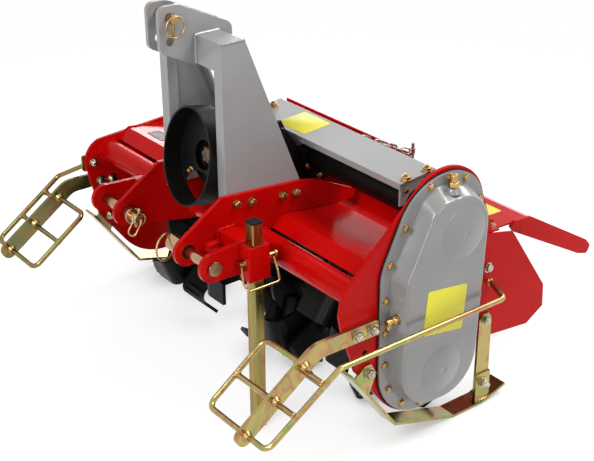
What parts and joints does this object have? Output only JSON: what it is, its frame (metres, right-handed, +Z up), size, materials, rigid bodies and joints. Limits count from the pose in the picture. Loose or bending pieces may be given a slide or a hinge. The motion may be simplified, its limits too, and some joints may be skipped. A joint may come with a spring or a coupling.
{
  "type": "rotary tiller",
  "caption": "Tractor-mounted rotary tiller with a three-point hitch mast, side chain drive, bladed rotor under a bent hood, hinged tail board, skids, side guards and a sliding stand leg.",
  "frame": {"origin": "middle of the machine's overall box, on the floor it stands on", "axes": "+Z up; the tractor side and the drive shaft face -Y; the chain case is on +X"},
  "size_m": [1.132, 1.033, 0.889],
  "materials": {
    "red_paint": "glossy red enamel",
    "grey_paint": "semi-gloss mid grey enamel",
    "light_grey_paint": "semi-gloss light grey enamel",
    "black_paint": "satin black enamel",
    "zinc_plate": "yellow zinc plating with an iridescent tint",
    "bare_steel": "bare machined steel",
    "black_plastic": "moulded black plastic",
    "gasket": "black joint sealant"
  },
  "bodies": {
    "frame": {"front_tube": "red_paint", "hood": "red_paint", "side_plate_right": "red_paint", "side_plate_left": "red_paint", "hitch_arm_right": "red_paint", "hitch_arm_left": "red_paint", "mast_upright_right": "grey_paint", "mast_upright_left": "grey_paint", "mast_head": "grey_paint", "top_link_pin": "zinc_plate", "hitch_pin_right": "zinc_plate", "hitch_pin_left": "zinc_plate", "gearbox": "black_paint", "pto_guard": "black_plastic", "side_shaft_tube": "black_paint", "top_cover": "light_grey_paint", "cover_bracket": "grey_paint", "chain_gasket": "gasket", "chain_cover": "light_grey_paint", "rotor_bearing": "black_paint", "hinge_rod": "zinc_plate", "wing_right": "red_paint", "wing_left": "red_paint", "skid_right": "zinc_plate", "skid_left": "zinc_plate", "guard_right": "zinc_plate", "guard_left": "zinc_plate", "stand_pin": "zinc_plate"},
    "rotor": {"rotor": "black_paint"},
    "pto_shaft": {"pto_shaft": "bare_steel"},
    "tail_board": {"tail_board": "red_paint"},
    "support_chain": {"support_chain": "bare_steel"},
    "stand_leg": {"stand_leg": "zinc_plate", "stand_cap": "black_plastic"}
  },
  "joints": [
    {"name": "rotor_spin", "type": "hinge", "parent": "frame", "child": "rotor", "pos_m": [0, -0.0365, 0.19], "axis": [1, 0, 0], "continuous": true},
    {"name": "pto_spin", "type": "hinge", "parent": "frame", "child": "pto_shaft", "pos_m": [0.036, -0.23973, 0.53885], "axis": [0, 0.9827, -0.1852], "continuous": true},
    {"name": "tail_board_lift", "type": "hinge", "parent": "frame", "child": "tail_board", "pos_m": [0, 0.1935, 0.397], "axis": [1, 0, 0], "range_deg": [0, 50]},
    {"name": "chain_swing", "type": "hinge", "parent": "frame", "child": "support_chain", "pos_m": [0.036, 0.0675, 0.524], "axis": [1, 0, 0], "range_deg": [0, 30]},
    {"name": "stand_slide", "type": "slide", "parent": "frame", "child": "stand_leg", "axis": [0, 0, 1], "range_m": [0, 0.3]}
  ],
  "couplings": [
    {"joint": "pto_spin", "follows": "rotor_spin", "ratio": 2.7},
    {"joint": "chain_swing", "follows": "tail_board_lift", "ratio": 0.6}
  ]
}
